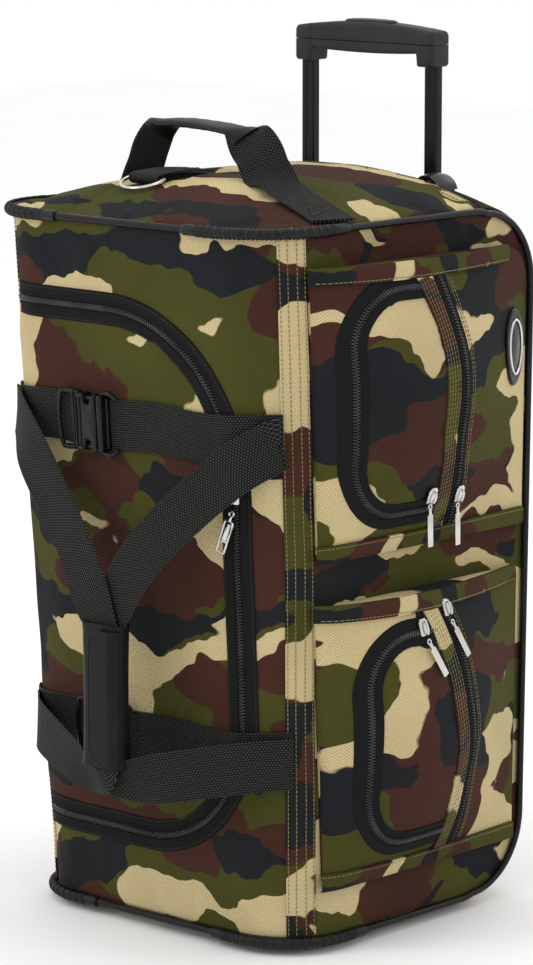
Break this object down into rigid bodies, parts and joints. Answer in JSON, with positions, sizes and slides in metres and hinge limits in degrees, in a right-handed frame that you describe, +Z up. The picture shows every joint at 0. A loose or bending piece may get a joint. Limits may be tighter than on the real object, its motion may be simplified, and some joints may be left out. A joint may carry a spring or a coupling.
{
  "type": "rolling duffel bag",
  "caption": "Soft rolling duffel standing on end: zip lid, strap buckles, carry handles, two side pockets, telescoping trolley handle and rear wheels.",
  "frame": {"origin": "bottom centre of the whole object's bounding box, with the bag standing on its wheels and stand bar", "axes": "+Z up along the trolley handle; +X towards the pocket side; -Y out of the zipped lid"},
  "size_m": [0.3492, 0.349, 0.6865],
  "materials": {
    "camo_fabric": "woven polyester with a four-colour woodland print, matt",
    "zip_tape": "knitted black zip tape with a nylon coil",
    "webbing": "coarse woven black polypropylene webbing",
    "leatherette": "black grained leatherette with stitched edges",
    "trim_rubber": "black piping and ribbed corner sleeves, satin",
    "grip_plastic": "black moulded handle plastic, fine texture",
    "black_plastic": "black moulded plastic, satin",
    "handle_tube": "black painted tube, satin",
    "chrome_metal": "polished nickel plate",
    "steel": "plain steel",
    "wheel_tyre": "black moulded wheel rim",
    "wheel_plastic": "black wheel hub",
    "stiffener_board": "grey stiffener board"
  },
  "bodies": {
    "bag": {"axle_left": "steel", "axle_right": "steel", "back_panel": "camo_fabric", "backboard": "stiffener_board", "base_bracket": "black_plastic", "bottom_end_panel": "camo_fabric", "corner_guard_bottom_left": "trim_rubber", "corner_guard_bottom_right": "trim_rubber", "corner_guard_top_left": "trim_rubber", "corner_guard_top_right": "trim_rubber", "d_ring_tab": "webbing", "front_panel": "camo_fabric", "handle_collars": "black_plastic", "lid_zip_outer": "zip_tape", "outer_tube_left": "handle_tube", "outer_tube_right": "handle_tube", "piping": "trim_rubber", "pocket_lower": "camo_fabric", "pocket_upper": "camo_fabric", "side_panel_left": "camo_fabric", "side_panel_right": "camo_fabric", "stand_bar": "black_plastic", "top_end_panel": "camo_fabric", "wheel_housing_left": "black_plastic", "wheel_housing_right": "black_plastic"},
    "wheel_right": {"tyre_right": "wheel_tyre", "wheel_hub_right": "wheel_plastic"},
    "wheel_left": {"tyre_left": "wheel_tyre", "wheel_hub_left": "wheel_plastic"},
    "handle_middle": {"middle_tube_right": "handle_tube", "middle_tube_left": "handle_tube"},
    "handle_inner": {"inner_tube_right": "handle_tube", "inner_tube_left": "handle_tube", "grip_lower": "grip_plastic", "grip_upper": "grip_plastic", "button_spring": "steel"},
    "button": {"push_button": "grip_plastic"},
    "lid": {"lid_panel": "camo_fabric", "lid_zip_inner": "zip_tape", "strap_left_upper": "webbing", "strap_left_lower": "webbing", "buckle_socket_upper": "black_plastic", "buckle_socket_lower": "black_plastic", "carry_loop_left": "webbing", "grip_wrap": "leatherette"},
    "strap_side": {"strap_right_upper": "webbing", "strap_right_lower": "webbing", "buckle_clip_upper": "black_plastic", "buckle_clip_lower": "black_plastic", "carry_loop_right": "webbing"},
    "lid_slider": {"lid_zip_slider": "chrome_metal"},
    "lid_puller": {"lid_zip_puller": "chrome_metal"},
    "pocket_door_upper": {"pocket_door_upper": "camo_fabric"},
    "pocket_door_lower": {"pocket_door_lower": "camo_fabric"},
    "d_ring": {"d_ring": "chrome_metal"},
    "top_handle": {"top_handle": "webbing"},
    "pocket_puller_upper_door": {"pocket_puller_upper_door": "chrome_metal"},
    "pocket_puller_upper_slim": {"pocket_puller_upper_slim": "chrome_metal"},
    "pocket_puller_lower_door": {"pocket_puller_lower_door": "chrome_metal"},
    "pocket_puller_lower_slim": {"pocket_puller_lower_slim": "chrome_metal"}
  },
  "joints": [
    {"name": "handle_middle_slide", "type": "slide", "parent": "bag", "child": "handle_middle", "axis": [0, 0, 1], "range_m": [0, 0.18]},
    {"name": "handle_inner_slide", "type": "slide", "parent": "handle_middle", "child": "handle_inner", "axis": [0, 0, 1], "range_m": [-0.085, 0.15]},
    {"name": "button_press", "type": "slide", "parent": "handle_inner", "child": "button", "axis": [0, 0, -1], "range_m": [0, 0.0035], "stiffness_N_per_m": 600, "springref_m": -0.002, "deforming": ["button_spring"]},
    {"name": "wheel_right_spin", "type": "hinge", "parent": "bag", "child": "wheel_right", "pos_m": [0.07293, 0.1465, 0.028], "axis": [1, 0, 0], "continuous": true},
    {"name": "wheel_left_spin", "type": "hinge", "parent": "bag", "child": "wheel_left", "pos_m": [-0.10707, 0.1465, 0.028], "axis": [1, 0, 0], "continuous": true},
    {"name": "lid_open", "type": "hinge", "parent": "bag", "child": "lid", "pos_m": [-0.13996, -0.10829, 0.2795], "axis": [0.013, 0.0633, -0.9979], "range_deg": [0, 90], "deforming": ["strap_right_upper", "strap_right_lower", "buckle_clip_upper", "buckle_clip_lower", "carry_loop_right"]},
    {"name": "strap_swing", "type": "hinge", "parent": "bag", "child": "strap_side", "pos_m": [0.11725, -0.10028, 0.275], "axis": [0.013, -0.0633, 0.9979], "range_deg": [0, 90]},
    {"name": "lid_zip_slide", "type": "slide", "parent": "lid", "child": "lid_slider", "axis": [0.013, -0.0633, 0.9979], "range_m": [-0.13, 0.004]},
    {"name": "lid_puller_swing", "type": "hinge", "parent": "lid_slider", "child": "lid_puller", "pos_m": [0.08536, -0.12414, 0.342], "axis": [-0.9221, -0.2133, 0.3227], "range_deg": [0, 80]},
    {"name": "pocket_door_upper_open", "type": "hinge", "parent": "bag", "child": "pocket_door_upper", "pos_m": [0.17142, 0.01212, 0.4185], "axis": [0.0744, -0.1972, 0.9775], "range_deg": [0, 75]},
    {"name": "pocket_door_lower_open", "type": "hinge", "parent": "bag", "child": "pocket_door_lower", "pos_m": [0.17142, 0.02436, 0.1605], "axis": [0.1071, -0.1938, 0.9752], "range_deg": [0, 75]},
    {"name": "pocket_puller_upper_door_swing", "type": "hinge", "parent": "pocket_door_upper", "child": "pocket_puller_upper_door", "pos_m": [0.15211, 0.01939, 0.336], "axis": [0.0386, -0.9985, -0.04], "range_deg": [0, 100]},
    {"name": "pocket_puller_upper_slim_swing", "type": "hinge", "parent": "bag", "child": "pocket_puller_upper_slim", "pos_m": [0.14843, 0.05607, 0.332], "axis": [0.0947, -0.995, -0.0306], "range_deg": [0, 100]},
    {"name": "pocket_puller_lower_door_swing", "type": "hinge", "parent": "pocket_door_lower", "child": "pocket_puller_lower_door", "pos_m": [0.16693, 0.00157, 0.237], "axis": [0.0822, -0.8962, -0.4359], "range_deg": [0, 100]},
    {"name": "pocket_puller_lower_slim_swing", "type": "hinge", "parent": "bag", "child": "pocket_puller_lower_slim", "pos_m": [0.16343, 0.03282, 0.247], "axis": [0.2153, -0.8898, -0.4023], "range_deg": [0, 100]},
    {"name": "d_ring_swing", "type": "hinge", "parent": "bag", "child": "d_ring", "pos_m": [-0.05707, -0.0675, 0.57548], "axis": [-1, 0, 0], "range_deg": [0, 115]},
    {"name": "top_handle_swing", "type": "hinge", "parent": "bag", "child": "top_handle", "pos_m": [-0.02544, -0.02065, 0.56636], "axis": [0.9666, -0.2558, 0.0168], "range_deg": [-10, 10]}
  ],
  "couplings": [
    {"joint": "strap_swing", "follows": "lid_open", "ratio": 1}
  ]
}
